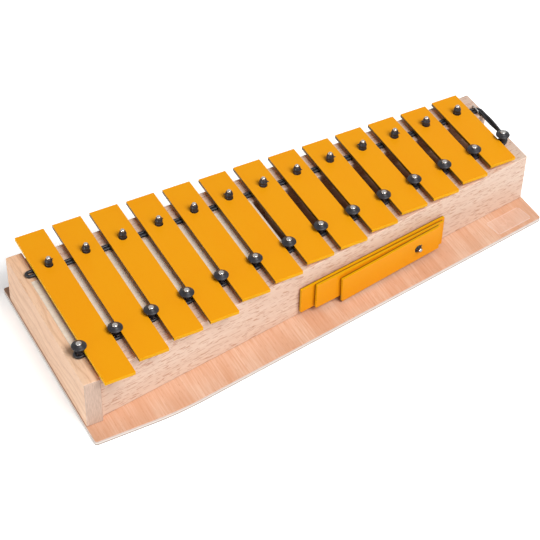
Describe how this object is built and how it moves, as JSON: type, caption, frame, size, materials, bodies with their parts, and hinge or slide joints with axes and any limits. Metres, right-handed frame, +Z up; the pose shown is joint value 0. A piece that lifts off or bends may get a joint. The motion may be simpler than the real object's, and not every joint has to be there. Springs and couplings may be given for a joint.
{
  "type": "glockenspiel",
  "caption": "Alto diatonic glockenspiel: painted steel tone bars on a corded wooden resonator box, held by rubber-capped pins, with spare bars on a side pin.",
  "frame": {"origin": "middle of the base board's plan box, on its underside", "axes": "+X along the row of bars from low to high, +Y towards the back, +Z up"},
  "size_m": [0.443, 0.2018, 0.0662],
  "materials": {
    "beech": "satin lacquered beech",
    "veneered_plywood": "satin lacquered veneer",
    "floor_plywood": "bare plywood",
    "pale_plywood": "bare plywood",
    "bar_paint": "satin powder coat",
    "nail_steel": "bright",
    "black_rubber": "satin rubber",
    "label_film": "clear film"
  },
  "bodies": {
    "resonator_box": {"base_board": "veneered_plywood", "front_rail": "beech", "rear_rail": "beech", "end_board": "beech", "resonator_floor": "floor_plywood", "cover_board": "pale_plywood", "rear_pin_01": "black_rubber", "rear_pin_02": "black_rubber", "rear_pin_03": "black_rubber", "rear_pin_04": "black_rubber", "rear_pin_05": "black_rubber", "rear_pin_06": "black_rubber", "rear_pin_07": "black_rubber", "rear_pin_08": "black_rubber", "rear_pin_09": "black_rubber", "rear_pin_10": "black_rubber", "rear_pin_11": "black_rubber", "rear_pin_12": "black_rubber", "rear_pin_13": "black_rubber", "front_pin_01": "black_rubber", "front_pin_02": "black_rubber", "front_pin_03": "black_rubber", "front_pin_04": "black_rubber", "front_pin_05": "black_rubber", "front_pin_06": "black_rubber", "front_pin_07": "black_rubber", "front_pin_08": "black_rubber", "front_pin_09": "black_rubber", "front_pin_10": "black_rubber", "front_pin_11": "black_rubber", "front_pin_12": "black_rubber", "front_pin_13": "black_rubber", "front_pin_14": "black_rubber", "bar_cord": "black_rubber", "cord_staple": "nail_steel", "label": "label_film", "stow_nail": "nail_steel", "stow_sleeve": "black_rubber"},
    "bar_01_c5": {"bar_01_c5": "bar_paint"},
    "bar_02_d5": {"bar_02_d5": "bar_paint"},
    "bar_03_e5": {"bar_03_e5": "bar_paint"},
    "bar_04_f5": {"bar_04_f5": "bar_paint"},
    "bar_05_g5": {"bar_05_g5": "bar_paint"},
    "bar_06_a5": {"bar_06_a5": "bar_paint"},
    "bar_07_b5": {"bar_07_b5": "bar_paint"},
    "bar_08_c6": {"bar_08_c6": "bar_paint"},
    "bar_09_d6": {"bar_09_d6": "bar_paint"},
    "bar_10_e6": {"bar_10_e6": "bar_paint"},
    "bar_11_f6": {"bar_11_f6": "bar_paint"},
    "bar_12_g6": {"bar_12_g6": "bar_paint"},
    "bar_13_a6": {"bar_13_a6": "bar_paint"},
    "spare_bar_f_sharp_5": {"spare_bar_f_sharp_5": "bar_paint"},
    "spare_bar_b_flat_5": {"spare_bar_b_flat_5": "bar_paint"},
    "spare_bar_f_sharp_6": {"spare_bar_f_sharp_6": "bar_paint"}
  },
  "joints": [
    {"name": "bar_01_c5_tip", "type": "hinge", "parent": "resonator_box", "child": "bar_01_c5", "pos_m": [-0.19573, -0.06157, 0.0547], "axis": [0.9886, 0.1508, 0], "range_deg": [0, 6.6]},
    {"name": "bar_02_d5_tip", "type": "hinge", "parent": "resonator_box", "child": "bar_02_d5", "pos_m": [-0.16328, -0.05661, 0.0547], "axis": [0.9886, 0.1508, 0], "range_deg": [0, 6.9]},
    {"name": "bar_03_e5_tip", "type": "hinge", "parent": "resonator_box", "child": "bar_03_e5", "pos_m": [-0.13082, -0.05166, 0.0547], "axis": [0.9886, 0.1508, 0], "range_deg": [0, 7.2]},
    {"name": "bar_04_f5_tip", "type": "hinge", "parent": "resonator_box", "child": "bar_04_f5", "pos_m": [-0.09838, -0.04671, 0.0547], "axis": [0.9886, 0.1508, 0], "range_deg": [0, 7.5]},
    {"name": "bar_05_g5_tip", "type": "hinge", "parent": "resonator_box", "child": "bar_05_g5", "pos_m": [-0.06592, -0.04176, 0.0547], "axis": [0.9886, 0.1508, 0], "range_deg": [0, 7.8]},
    {"name": "bar_06_a5_tip", "type": "hinge", "parent": "resonator_box", "child": "bar_06_a5", "pos_m": [-0.03347, -0.03681, 0.0547], "axis": [0.9886, 0.1508, 0], "range_deg": [0, 8.1]},
    {"name": "bar_07_b5_tip", "type": "hinge", "parent": "resonator_box", "child": "bar_07_b5", "pos_m": [-0.00103, -0.03186, 0.0547], "axis": [0.9886, 0.1508, 0], "range_deg": [0, 8.5]},
    {"name": "bar_08_c6_tip", "type": "hinge", "parent": "resonator_box", "child": "bar_08_c6", "pos_m": [0.03143, -0.02691, 0.0547], "axis": [0.9886, 0.1508, 0], "range_deg": [0, 8.9]},
    {"name": "bar_09_d6_tip", "type": "hinge", "parent": "resonator_box", "child": "bar_09_d6", "pos_m": [0.06388, -0.02196, 0.0547], "axis": [0.9886, 0.1508, 0], "range_deg": [0, 9.4]},
    {"name": "bar_10_e6_tip", "type": "hinge", "parent": "resonator_box", "child": "bar_10_e6", "pos_m": [0.09632, -0.01701, 0.0547], "axis": [0.9886, 0.1508, 0], "range_deg": [0, 9.9]},
    {"name": "bar_11_f6_tip", "type": "hinge", "parent": "resonator_box", "child": "bar_11_f6", "pos_m": [0.12878, -0.01206, 0.0547], "axis": [0.9886, 0.1508, 0], "range_deg": [0, 10.5]},
    {"name": "bar_12_g6_tip", "type": "hinge", "parent": "resonator_box", "child": "bar_12_g6", "pos_m": [0.16123, -0.00711, 0.0547], "axis": [0.9886, 0.1508, 0], "range_deg": [0, 10.8]},
    {"name": "bar_13_a6_tip", "type": "hinge", "parent": "resonator_box", "child": "bar_13_a6", "pos_m": [0.19368, -0.00216, 0.0547], "axis": [0.9886, 0.1508, 0], "range_deg": [0, 10.8]},
    {"name": "spare_bar_f_sharp_5_slide", "type": "slide", "parent": "resonator_box", "child": "spare_bar_f_sharp_5", "axis": [0.1508, -0.9886, 0], "range_m": [0, 0.02]},
    {"name": "spare_bar_b_flat_5_slide", "type": "slide", "parent": "spare_bar_f_sharp_5", "child": "spare_bar_b_flat_5", "axis": [0.1508, -0.9886, 0], "range_m": [0, 0.02]},
    {"name": "spare_bar_f_sharp_6_slide", "type": "slide", "parent": "spare_bar_b_flat_5", "child": "spare_bar_f_sharp_6", "axis": [0.1508, -0.9886, 0], "range_m": [0, 0.02]}
  ]
}
